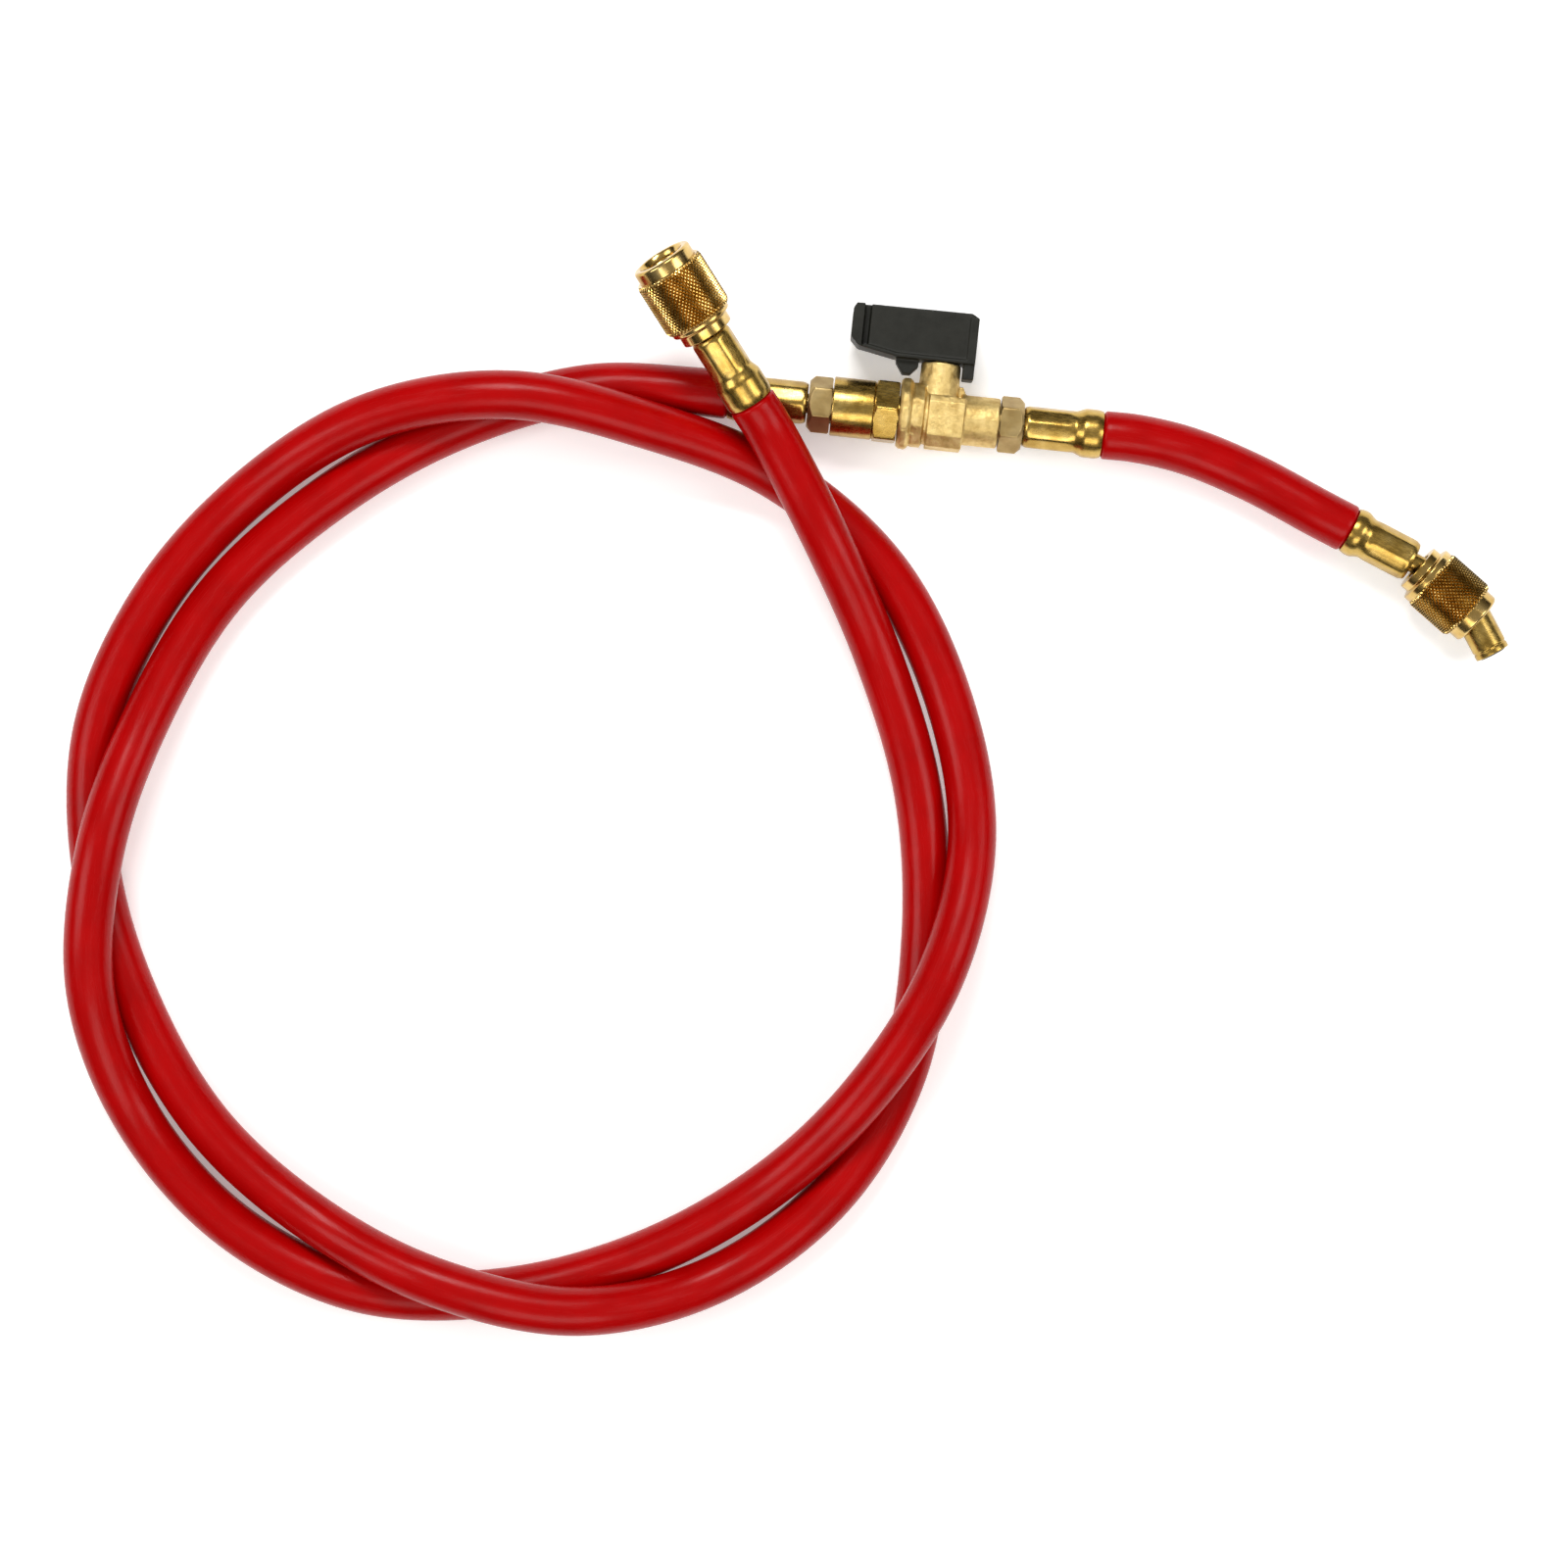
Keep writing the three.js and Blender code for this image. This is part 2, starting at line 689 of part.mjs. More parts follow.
const atInlet = { group: inletEnd, ferrule: ferruleLength };
const atOutlet = { group: outletEnd, ferrule: ferruleLength };
const atStraight = { group: straightEnd, ferrule: ferruleLength };
const atBent = { group: bentEnd, ferrule: ferruleLengthAtBend };
object.add(
  rubber('long_hose', hose(longHoseRoute, atInlet, atStraight, longHoseSteps)),
  rubber('short_hose', hose(shortHoseRoute, atOutlet, atBent, shortHoseSteps)),
);

export default object;
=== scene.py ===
# A refrigerant charging hose on a white floor, seen from straight above. Sizes
# are in millimetres here, and each mesh is scaled to metres when it is made.

import math

import bmesh
import bpy
from mathutils import Matrix, Vector, noise


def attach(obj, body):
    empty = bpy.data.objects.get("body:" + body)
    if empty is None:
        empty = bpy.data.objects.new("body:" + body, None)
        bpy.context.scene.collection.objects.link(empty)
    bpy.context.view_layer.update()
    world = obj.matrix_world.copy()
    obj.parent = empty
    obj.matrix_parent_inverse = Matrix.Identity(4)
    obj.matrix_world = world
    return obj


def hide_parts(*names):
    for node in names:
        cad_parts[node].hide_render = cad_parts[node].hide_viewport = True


MM = 0.001

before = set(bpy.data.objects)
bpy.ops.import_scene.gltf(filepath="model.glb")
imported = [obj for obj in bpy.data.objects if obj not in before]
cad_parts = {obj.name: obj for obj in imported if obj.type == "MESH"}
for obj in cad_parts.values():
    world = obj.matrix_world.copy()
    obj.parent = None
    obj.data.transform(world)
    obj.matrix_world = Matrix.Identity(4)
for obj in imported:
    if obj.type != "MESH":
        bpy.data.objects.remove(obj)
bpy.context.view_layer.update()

# Sizes. Most are those of the CAD solids. The bells and the neck are the scene's own.
CLEARANCE = 0.3
HOSE_RADIUS = 6.35
NECK_RADIUS = 5.4
NECK_SHORT_OF_BELL = 1.2
LEAD_OUT = 9
FERRULE_LENGTH = 20.6
FERRULE_LENGTH_AT_BEND = 18.2
FERRULE_BELL_RADIUS = 6.4
VALVE_BELL = 6.2
STRAIGHT_BELL = 8
BENT_BELL = 4.2
FERRULE_SLEEVE_RADIUS = 5.55
FERRULE_MOUTH_RADIUS = 5.7
FERRULE_BORE_RADIUS = 4.9
TAIL_RADIUS = 2.6
TAIL_REACH = 15
PASSAGE_RADIUS = 1.5
NIPPLE_FLAT = 6.5
NIPPLE_LENGTH = 6
NIPPLE_THREAD_RADIUS = 4.7
SOCKET_RADIUS = 5
SOCKET_DEPTH = 6.6
PORT_RADIUS = 2.8
CAP_BARREL_RADIUS = 7.75
CAP_FLAT = 7.7
CAP_PLUG_RADIUS = 4.5
CAP_START = -27.3
CAP_HEX_START = -16.1
BODY_START = -9.8
RIB_START = -6.7
BLOCK_START = -2.8
BLOCK_END = 7.2
BODY_END = 16.5
SEAT_START = 5.5
BOSS_TOP = 13.9
BOSS_RADIUS = 5.4
STEM_RADIUS = 2.5
STEM_TOP = 22
HEAD_RADIUS = 4.6
HEAD_LENGTH = 11.5
SEAL_RADIUS = 3.5
SEAL_THICKNESS = 1.8
SEAL_PROUD = 0.3
NUT_HOLE_RADIUS = 4.3
NUT_BACK_WALL = 2.5
NUT_THREAD_RADIUS = 5.55
NUT_MOUTH_RADIUS = 6.3
NUT_MOUTH_DEPTH = 1.4
BEND_RADIUS = 25
BEND_ANGLE = math.radians(34.5)
BEND_START = 5.6
BEND_TAIL = 12.5
HEX_CORNER_BROKEN = 0.08
FACING = math.pi / 2


# Frames. Headings turn from +X towards +Y.
def place(x, y, z, heading=0, rise=0):
    turn = Matrix.Rotation(math.radians(heading), 4, "Z")
    tilt = Matrix.Rotation(-math.radians(rise), 4, "Y")
    return Matrix.Translation((x, y, z)) @ turn @ tilt


VALVE = place(-35.9, 10.7, 9.6, -6.1)
STRAIGHT_END = place(-84.2, 13.7, 22.6, 123.2, 18)
BENT_END = place(72.7, -18.7, 8.6, -27.5)
INLET_END = VALVE @ place(-54.5, 0, 0)
OUTLET_END = VALVE @ place(43.7, 0, 0, 180)
UPRIGHT = place(0, 0, 0, 90)
STRAIGHT_NUT_START = 21.2
STRAIGHT_STEM_END = 35.5
STRAIGHT_NUT = STRAIGHT_END @ place(STRAIGHT_NUT_START, 0, 0)
BENT_NUT = BENT_END @ place(20.25, -0.52, 0, -13.8)

LONG_ROUTE = [
    (-127, 18.5, 6.8),
    (-163, 8, 7),
    (-195.5, -10.5, 6.5),
    (-223.5, -35.5, 6.9),
    (-242, -67.5, 11.2),
    (-253, -102, 19.3),
    (-256, -139, 17.2),
    (-245, -173.5, 8),
    (-220.5, -201.5, 6.6),
    (-187, -218, 6.5),
    (-150, -219, 6.4),
    (-113.5, -209.5, 6.8),
    (-81, -191.5, 8.7),
    (-55, -166.5, 17.4),
    (-35, -135, 19.4),
    (-26.5, -99.5, 11.9),
    (-32.5, -63, 7.1),
    (-49, -29.5, 6.6),
    (-77, -5, 7.5),
    (-111, 8, 15.8),
    (-147.5, 15.5, 20.2),
    (-184, 10, 14.8),
    (-215.5, -8.5, 7.2),
    (-240.5, -36, 6.6),
    (-256, -70.5, 6.5),
    (-256.5, -107.5, 6.4),
    (-245.5, -143.5, 6.5),
    (-226.5, -175.5, 6.8),
    (-198.5, -199.5, 9.9),
    (-165.5, -215, 19),
    (-129, -222.5, 17.6),
    (-94, -215.5, 8),
    (-63.5, -193.5, 6.6),
    (-44.5, -161.5, 6.5),
    (-38.5, -125, 6.5),
    (-40.5, -87.5, 6.8),
    (-51, -52, 9.6),
    (-66, -19, 18.5),
]
SHORT_ROUTE = [(30.5, 2, 7.3), (47.5, -5, 6.6)]


# Materials.
OWN_PLACE = "own_place"


def node(tree, kind, inputs=None, **settings):
    made = tree.nodes.new(kind)
    for key, value in settings.items():
        setattr(made, key, value)
    for key, value in (inputs or {}).items():
        if isinstance(value, bpy.types.NodeSocket):
            tree.links.new(value, made.inputs[key])
        else:
            made.inputs[key].default_value = value
    return made


def material(name, metallic, **levels):
    made = bpy.data.materials.new(name)
    made.use_nodes = True
    tree = made.node_tree
    surface = tree.nodes["Principled BSDF"]
    surface.inputs["Metallic"].default_value = metallic
    for key, value in levels.items():
        surface.inputs[key.replace("_", " ")].default_value = value
    return made, tree, surface


def in_mm(tree):
    """Where a point lies in its piece's own frame, as piece() stores it."""
    source = node(tree, "ShaderNodeAttribute", attribute_name=OWN_PLACE).outputs["Vector"]
    return stretched(tree, source, (1 / MM, 1 / MM, 1 / MM))


def stretched(tree, source, scale):
    wanted = {0: source, 1: scale}
    return node(tree, "ShaderNodeVectorMath", wanted, operation="MULTIPLY").outputs[0]


def mottle(tree, source, scale, detail=3, roughness=0.55):
    wanted = {"Vector": source, "Scale": scale, "Detail": detail, "Roughness": roughness}
    return node(tree, "ShaderNodeTexNoise", wanted).outputs["Fac"]


def blend_of(tree, factor, stops):
    ramp = node(tree, "ShaderNodeValToRGB", {"Fac": factor})
    elements = ramp.color_ramp.elements
    while len(elements) < len(stops):
        elements.new(0.5)
    for element, (position, color) in zip(elements, stops):
        element.position = position
        element.color = (*color, 1)
    return ramp.outputs["Color"]


def between(tree, factor, low, high, start=0.3, end=0.7):
    wanted = {"Value": factor, "From Min": start, "From Max": end, "To Min": low, "To Max": high}
    return node(tree, "ShaderNodeMapRange", wanted).outputs["Result"]


def bumps(tree, heights):
    """Bump nodes one after another, from (height, depth in mm) pairs."""
    normal = None
    for height, depth in heights:
        wanted = {"Height": height, "Strength": 1, "Distance": depth * MM}
        if normal:
            wanted["Normal"] = normal
        normal = node(tree, "ShaderNodeBump", wanted).outputs["Normal"]
    return normal


def connect(tree, surface, color, roughness, normal):
    tree.links.new(color, surface.inputs["Base Color"])
    tree.links.new(roughness, surface.inputs["Roughness"])
    tree.links.new(normal, surface.inputs["Normal"])


def turned_brass(name, tones, roughness):
    """Machined brass. Its tool marks run round the axis, on the sides and on the ends."""
    mark_depth = 0.007
    dent_depth = 0.012
    made, tree, surface = material(name, 1)
    spot = in_mm(tree)
    across = stretched(tree, spot, (0, 1, 1))
    radius = node(tree, "ShaderNodeVectorMath", {0: across}, operation="LENGTH").outputs["Value"]
    station = node(tree, "ShaderNodeSeparateXYZ", {0: spot}).outputs["X"]
    run = node(tree, "ShaderNodeMath", {0: station, 1: radius}, operation="ADD").outputs[0]
    marks = node(
        tree, "ShaderNodeTexNoise", {"W": run, "Scale": 3.2, "Detail": 4}, noise_dimensions="1D"
    ).outputs["Fac"]
    stain = mottle(tree, spot, 0.22, 5)
    color = blend_of(tree, stain, list(zip((0.34, 0.52, 0.7), tones)))
    scuffs = mottle(tree, stretched(tree, spot, (0.5, 2, 2)), 1.1, 4)
    connect(tree, surface, color, between(tree, scuffs, *roughness),
            bumps(tree, [(marks, mark_depth), (mottle(tree, spot, 0.9, 3), dent_depth)]))
    return made


def forged_brass():
    """Paler brass with the grain of a blasted forging."""
    grain_depth = 0.09
    dent_depth = 0.12
    made, tree, surface = material("forged_brass", 1)
    spot = in_mm(tree)
    stain = mottle(tree, spot, 0.28, 5)
    color = blend_of(tree, stain, [
        (0.32, (0.47, 0.31, 0.1)), (0.55, (0.69, 0.51, 0.2)), (0.75, (0.78, 0.61, 0.28)),
    ])
    connect(tree, surface, color, between(tree, mottle(tree, spot, 1.3, 4), 0.4, 0.58),
            bumps(tree, [
                (mottle(tree, spot, 3.4, 3), grain_depth), (mottle(tree, spot, 0.7, 2), dent_depth),
            ]))
    return made


def hose_rubber():
    """Smooth red rubber. Its texture follows the hose, whose own frame is its straight shape."""
    drawn_depth = 0.035
    pit_depth = 0.018
    made, tree, surface = material("hose_rubber", 0, Specular_IOR_Level=0.12)
    spot = in_mm(tree)
    dust = mottle(tree, spot, 0.09, 5, 0.6)
    color = blend_of(tree, dust, [
        (0.3, (0.32, 0.0003, 0.0006)), (0.6, (0.37, 0.0004, 0.0008)),
        (0.8, (0.39, 0.001, 0.002)),
    ])
    drawn = mottle(tree, stretched(tree, spot, (0.12, 1.3, 1.3)), 1.2, 4)
    pits = mottle(tree, spot, 4.5, 2)
    connect(tree, surface, color, between(tree, drawn, 0.2, 0.3),
            bumps(tree, [(drawn, drawn_depth), (pits, pit_depth)]))
    return made


def grained_finish(name, tones, roughness, grain_scale, grain_depth):
    """Moulded plastic or rubber with a fine grain."""
    made, tree, surface = material(name, 0, Specular_IOR_Level=0.25)
    spot = in_mm(tree)
    stain = mottle(tree, spot, 0.3, 5)
    color = blend_of(tree, stain, [(0.35, tones[0]), (0.7, tones[1])])
    grain = mottle(tree, spot, grain_scale, 3)
    connect(tree, surface, color, between(tree, stain, *roughness),
            bumps(tree, [(grain, grain_depth)]))
    return made


def plated_steel():
    made, tree, surface = material("plated_steel", 1)
    spot = in_mm(tree)
    stain = mottle(tree, spot, 0.8, 4)
    color = blend_of(tree, stain, [(0.35, (0.42, 0.42, 0.4)), (0.7, (0.62, 0.62, 0.6))])
    connect(tree, surface, color, between(tree, stain, 0.25, 0.4), bumps(tree, [(stain, 0.02)]))
    return made


BRASS = turned_brass(
    "turned_brass", ((0.33, 0.2, 0.04), (0.44, 0.285, 0.07), (0.52, 0.36, 0.11)), (0.2, 0.34)
)
DULL_BRASS = turned_brass(
    "dull_brass", ((0.31, 0.21, 0.08), (0.38, 0.27, 0.11), (0.45, 0.33, 0.15)), (0.36, 0.5)
)
KNURLED = turned_brass(
    "knurled_brass", ((0.42, 0.26, 0.06), (0.54, 0.36, 0.12), (0.64, 0.47, 0.19)), (0.14, 0.24)
)
FORGED = forged_brass()
RUBBER = hose_rubber()
PLASTIC = grained_finish(
    "handle_plastic", ((0.008, 0.008, 0.005), (0.013, 0.013, 0.009)), (0.42, 0.56), 3, 0.035
)
SEAL_RUBBER = grained_finish(
    "seal_rubber", ((0.012, 0.012, 0.012), (0.022, 0.021, 0.02)), (0.55, 0.7), 4, 0.02
)
SEAT_PLASTIC = grained_finish(
    "seat_plastic", ((0.72, 0.7, 0.65), (0.8, 0.78, 0.73)), (0.35, 0.5), 2, 0.01
)
STEEL = plated_steel()


# Camera and cords.
def camera():
    height = 1.0
    width_at_floor = 0.4148
    data = bpy.data.cameras.new("camera")
    data.sensor_width = 36
    data.lens = data.sensor_width * height / width_at_floor
    data.clip_start = 0.01
    data.clip_end = 20
    made = bpy.data.objects.new("camera", data)
    made.location = (-0.07566, -0.08542, height)
    bpy.context.scene.collection.objects.link(made)
    bpy.context.scene.camera = made


def store_places(mesh, points):
    stored = mesh.attributes.new(OWN_PLACE, "FLOAT_VECTOR", "POINT")
    stored.data.foreach_set("vector", [value for point in points for value in point])


def piece(name, mesh, where, body, finish, nodes=(), smooth=40):
    """Adds a mesh in millimetres at a place, smooth but for edges sharper than an angle."""
    mesh.transform(Matrix.Scale(MM, 4))
    if OWN_PLACE not in mesh.attributes:
        store_places(mesh, [vertex.co for vertex in mesh.vertices])
    world = where.copy()
    world.translation = where.translation * MM
    mesh.transform(world)
    mesh.shade_smooth()
    mesh.set_sharp_from_angle(angle=math.radians(smooth))
    mesh.materials.append(finish[0])
    made = bpy.data.objects.new(name, mesh)
    bpy.context.scene.collection.objects.link(made)
    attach(made, body)
    if nodes:
        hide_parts(*nodes)
    return made


def skin(name, rings, loop=False, knurl=None):
    """A closed mesh over rings of points.

    knurl is the range of rows whose squares are split along their grooves.
    """
    count = len(rings[0])
    points = [point for ring in rings for point in ring]
    faces = []
    for row in range(len(rings) if loop else len(rings) - 1):
        low = row * count
        high = (row + 1) % len(rings) * count
        for i in range(count):
            j = (i + 1) % count
            a, b, c, d = low + i, low + j, high + j, high + i
            if knurl is None or not knurl[0] <= row < knurl[1]:
                faces.append((a, b, c, d))
            elif (row - knurl[0] + i) % 2:
                faces += [(a, b, d), (b, c, d)]
            else:
                faces += [(a, b, c), (a, c, d)]
    if not loop:
        faces += [tuple(reversed(range(count))), tuple(range(len(points) - count, len(points)))]
    mesh = bpy.data.meshes.new(name)
    mesh.from_pydata(points, [], faces)
    work = bmesh.new()
    work.from_mesh(mesh)
    bmesh.ops.recalc_face_normals(work, faces=work.faces)
    work.to_mesh(mesh)
    work.free()
    return mesh


def smooth_curve(points, spacing):
    """A centripetal Catmull-Rom curve through the points."""
    points = [Vector(point) for point in points]
    padded = [2 * points[0] - points[1], *points, 2 * points[-1] - points[-2]]
    curve = []
    for p0, p1, p2, p3 in zip(padded, padded[1:], padded[2:], padded[3:]):
        d0, d1, d2 = ((b - a).length ** 0.5 for a, b in ((p0, p1), (p1, p2), (p2, p3)))
        t1 = ((p1 - p0) / d0 - (p2 - p0) / (d0 + d1) + (p2 - p1) / d1) * d1
        t2 = ((p2 - p1) / d1 - (p3 - p1) / (d1 + d2) + (p3 - p2) / d2) * d1
        square = -3 * p1 + 3 * p2 - 2 * t1 - t2
        cube = 2 * p1 - 2 * p2 + t1 + t2
        steps = max(2, round((p2 - p1).length / spacing))
        for k in range(steps):
            t = k / steps
            curve.append(p1 + t1 * t + square * t * t + cube * t**3)
    return curve + [points[-1]]


def hose(name, route, start, start_bell, end, end_bell, sides=32, spacing=2.4):
    """A hose from one ferrule to another. It narrows just inside both mouths."""
    lip = 0.7
    near = 1.5

    def beside(where, distance):
        return where @ Vector((-distance, 0, 0))

    def squeezed(where, bell):
        steps = [
            (NECK_SHORT_OF_BELL - bell, NECK_RADIUS), (-0.1, NECK_RADIUS),
            (CLEARANCE, NECK_RADIUS + 0.35), (CLEARANCE + 0.15, HOSE_RADIUS - 0.3),
            (CLEARANCE + 0.4, HOSE_RADIUS - 0.1), (CLEARANCE + lip, HOSE_RADIUS),
        ]
        return [(beside(where, distance), radius) for distance, radius in steps]

    first = beside(start, CLEARANCE)
    last = beside(end, CLEARANCE)
    middle = smooth_curve(
        [first, beside(start, LEAD_OUT), *route, beside(end, LEAD_OUT), last], spacing
    )
    middle = [(point, HOSE_RADIUS) for point in middle
              if (point - first).length > near and (point - last).length > near]
    path = squeezed(start, start_bell) + middle + squeezed(end, end_bell)[::-1]
    centres = [centre for centre, _ in path]
    side = Vector((0, 0, 1)).cross(centres[1] - centres[0]).normalized()
    rings = []
    straight = []
    run = 0.0
    for i, (centre, radius) in enumerate(path):
        ahead = (centres[min(i + 1, len(path) - 1)] - centres[max(i - 1, 0)]).normalized()
        side = (side - ahead * side.dot(ahead)).normalized()
        up = ahead.cross(side)
        if i:
            run += (centre - centres[i - 1]).length
        rings.append([])
        for k in range(sides):
            angle = 2 * math.pi * k / sides
            across, upward = math.cos(angle), math.sin(angle)
            rings[-1].append(centre + (side * across + up * upward) * radius)
            straight.append((run * MM, radius * MM * across, radius * MM * upward))
    mesh = skin(name, rings)
    store_places(mesh, straight)
    finish = (RUBBER, "red_rubber")
    made = piece(name + "_rubber", mesh, Matrix.Identity(4), "hose", finish, [name], smooth=60)
    return made, [centre * MM for centre in centres], run * MM


camera()
long_hose, long_path, long_length = hose(
    "long_hose", LONG_ROUTE, INLET_END, VALVE_BELL, STRAIGHT_END, STRAIGHT_BELL
)
short_hose, short_path, short_length = hose(
    "short_hose", SHORT_ROUTE, OUTLET_END, VALVE_BELL, BENT_END, BENT_BELL
)


# Turned pieces. A profile is a list of (x, radius) and a radius may be a
# function of the angle round the axis.
def arc(profile, size, steps=4, loop=True):
    """The profile with its corners rounded."""
    made = []
    for i, here in enumerate(profile):
        here = Vector(here)
        if not loop and i in (0, len(profile) - 1):
            made.append(tuple(here))
            continue
        before = Vector(profile[i - 1]) - here
        after = Vector(profile[(i + 1) % len(profile)]) - here
        reach = min(size, before.length * 0.42, after.length * 0.42)
        start = here + before.normalized() * reach
        end = here + after.normalized() * reach
        for k in range(steps + 1):
            t = k / steps
            made.append(tuple(start * (1 - t) ** 2 + here * 2 * t * (1 - t) + end * t * t))
    return made


def spread(profile, step, loop=True):
    """The profile with no side longer than a step."""
    ends = profile[1:] + profile[:1] if loop else profile[1:]
    made = []
    for start, end in zip(profile, ends):
        start, end = Vector(start), Vector(end)
        parts = max(1, math.ceil((end - start).length / step))
        made += [tuple(start.lerp(end, k / parts)) for k in range(parts)]
    return made if loop else made + [tuple(profile[-1])]


def even(count):
    return [2 * math.pi * i / count for i in range(count)]


def ringed(profile, angles, shape=None, path=None):
    """Rings of points round the X axis, or round a path of (centre, heading) by distance."""
    rings = []
    for x, radius in profile:
        centre, heading = path(x) if path else (Vector((x, 0, 0)), 0.0)
        outward = Vector((-math.sin(heading), math.cos(heading), 0))
        ring = []
        for angle in angles:
            r = radius(angle) if callable(radius) else radius
            if shape:
                r = shape(x, r, angle)
            height = Vector((0, 0, r * math.sin(angle)))
            ring.append(centre + outward * (r * math.cos(angle)) + height)
        rings.append(ring)
    return rings


def soft_min(a, b, blend):
    mix = max(0.0, min(1.0, 0.5 + 0.5 * (b - a) / blend))
    return b + (a - b) * mix - blend * mix * (1 - mix)


def step_up(value, low, high):
    t = max(0.0, min(1.0, (value - low) / (high - low)))
    return t * t * (3 - 2 * t)


def to_flat(angle, sides, first):
    """The angle from the nearest flat of a many-sided bar whose first flat faces an angle."""
    sector = 2 * math.pi / sides
    return (angle - first + sector / 2) % sector - sector / 2


def hexagonal(flat, first, low, high):
    """Cuts six flats on whatever stands out between two stations."""
    def shape(x, radius, angle):
        if not low - 0.01 <= x <= high + 0.01:
            return radius
        return soft_min(radius, flat / math.cos(to_flat(angle, 6, first)), 0.12)
    return shape


def hex_angles():
    corners = [math.radians(30 * k + d) for k in range(12) for d in (-2, -1, 1, 2)]
    return sorted({round(a % (2 * math.pi), 6) for a in even(96) + corners})


def corner_radius(flat):
    return flat / math.cos(math.pi / 6)


def ferrule(name, where, length, shoulder):
    """A brass ferrule whose sleeve is crimped by eight jaws. The bell ends at its shoulder."""
    jaws = 8
    first_jaw = math.radians(75)
    jaw_reach = 0.96
    bell = FERRULE_BELL_RADIUS
    sleeve = FERRULE_SLEEVE_RADIUS
    bore = FERRULE_BORE_RADIUS - 0.3
    profile = arc([
        (0, FERRULE_MOUTH_RADIUS), (0, bell - 0.35), (1.3, bell), (shoulder - 1.4, bell),
        (shoulder, sleeve + 0.2), (shoulder + 1, sleeve - 0.15), (shoulder + 2.4, sleeve),
        (length - 1.2, sleeve), (length, sleeve - 0.5), (length, bore), (shoulder, bore),
        (shoulder - 0.8, FERRULE_MOUTH_RADIUS),
    ], 1.2)

    def crimp(x, radius, angle):
        if radius < sleeve - 0.2:
            return radius
        begins = step_up(x, shoulder + 1, shoulder + 3.2)
        ends = 1 - step_up(x, length - 2, length - 0.7)
        jaw = radius * jaw_reach / math.cos(to_flat(angle, jaws, first_jaw))
        flat = soft_min(radius, jaw, 0.25)
        return radius + (flat - radius) * (begins * ends)

    mesh = skin(name, ringed(spread(profile, 0.7), even(112), crimp), loop=True)
    return piece(name + "_brass", mesh, where, "hose", (BRASS, "turned_brass"), [name])


def nipple(name, where):
    """A hexagon nipple with a tail in the hose and a thread in the valve."""
    length = FERRULE_LENGTH
    start = length + CLEARANCE
    end = start + NIPPLE_LENGTH
    thread_end = end + 6
    corner = corner_radius(NIPPLE_FLAT)
    widest = corner - HEX_CORNER_BROKEN
    chamfer = 1.4
    cone = spread([(start, corner - chamfer), (start + chamfer, widest)], 0.14, loop=False)
    back = spread([(end - 0.35, widest), (end, corner - 0.45)], 0.1, loop=False)
    profile = [
        (length - TAIL_REACH, PASSAGE_RADIUS), (length - TAIL_REACH, TAIL_RADIUS),
        (start, TAIL_RADIUS), (start, corner - chamfer - 0.3), *cone, *back,
        (end, NIPPLE_THREAD_RADIUS + 1), (end, NIPPLE_THREAD_RADIUS),
        (thread_end, NIPPLE_THREAD_RADIUS), (thread_end, PASSAGE_RADIUS),
    ]
    shape = hexagonal(NIPPLE_FLAT, FACING, start, end)
    mesh = skin(name, ringed(profile, hex_angles(), shape), loop=True)
    finish = (DULL_BRASS, "turned_brass")
    return piece(name + "_brass", mesh, where, "hose", finish, [name], smooth=25)


def valve_cap():
    """A polished barrel and a hexagon in one, with a plug that reaches into the valve."""
    start = CAP_HEX_START
    end = BODY_START - CLEARANCE
    corner = corner_radius(CAP_FLAT)
    widest = corner - HEX_CORNER_BROKEN
    face_edge = corner - 0.7
    chamfer = 0.5
    groove = CAP_BARREL_RADIUS - 0.35
    step = 0.12
    plug_end = -SEAT_START - CLEARANCE
    socket_end = CAP_START + SOCKET_DEPTH
    barrel = arc([
        (CAP_START, SOCKET_RADIUS), (CAP_START, CAP_BARREL_RADIUS),
        (start - 0.5, CAP_BARREL_RADIUS), (start - 0.25, groove), (start, groove),
    ], 0.35, loop=False)
    front = [(start, CAP_FLAT - 0.1), (start, face_edge), (start + chamfer, widest)]
    back = [(end - chamfer, widest), (end, face_edge), (end, CAP_PLUG_RADIUS + 2)]
    profile = [
        *barrel, *spread(front, step, loop=False), *spread(back, step, loop=False),
        (end, CAP_PLUG_RADIUS), (plug_end, CAP_PLUG_RADIUS), (plug_end, PORT_RADIUS),
        (socket_end, PORT_RADIUS), (socket_end, SOCKET_RADIUS),
    ]
    shape = hexagonal(CAP_FLAT, 0, start, end)
    mesh = skin("valve_cap", ringed(profile, hex_angles(), shape), loop=True)
    finish = (BRASS, "turned_brass")
    return piece("valve_cap_brass", mesh, VALVE, "hose", finish, ["valve_cap"], smooth=25)


def sealed_profile(start, end):
    """A tail or tube that opens to a seal head, with its recess and its passage."""
    head = end - HEAD_LENGTH
    floor = end - SEAL_THICKNESS
    recess = SEAL_RADIUS + CLEARANCE
    groove = HEAD_RADIUS - 0.2
    return arc([
        (start, PASSAGE_RADIUS), (start, TAIL_RADIUS), (head, TAIL_RADIUS), (head, HEAD_RADIUS),
        (end - 2.1, HEAD_RADIUS), (end - 1.9, groove), (end - 1.6, groove),
        (end - 1.4, HEAD_RADIUS), (end, HEAD_RADIUS), (end, recess), (floor, recess),
        (floor, PASSAGE_RADIUS),
    ], 0.35)


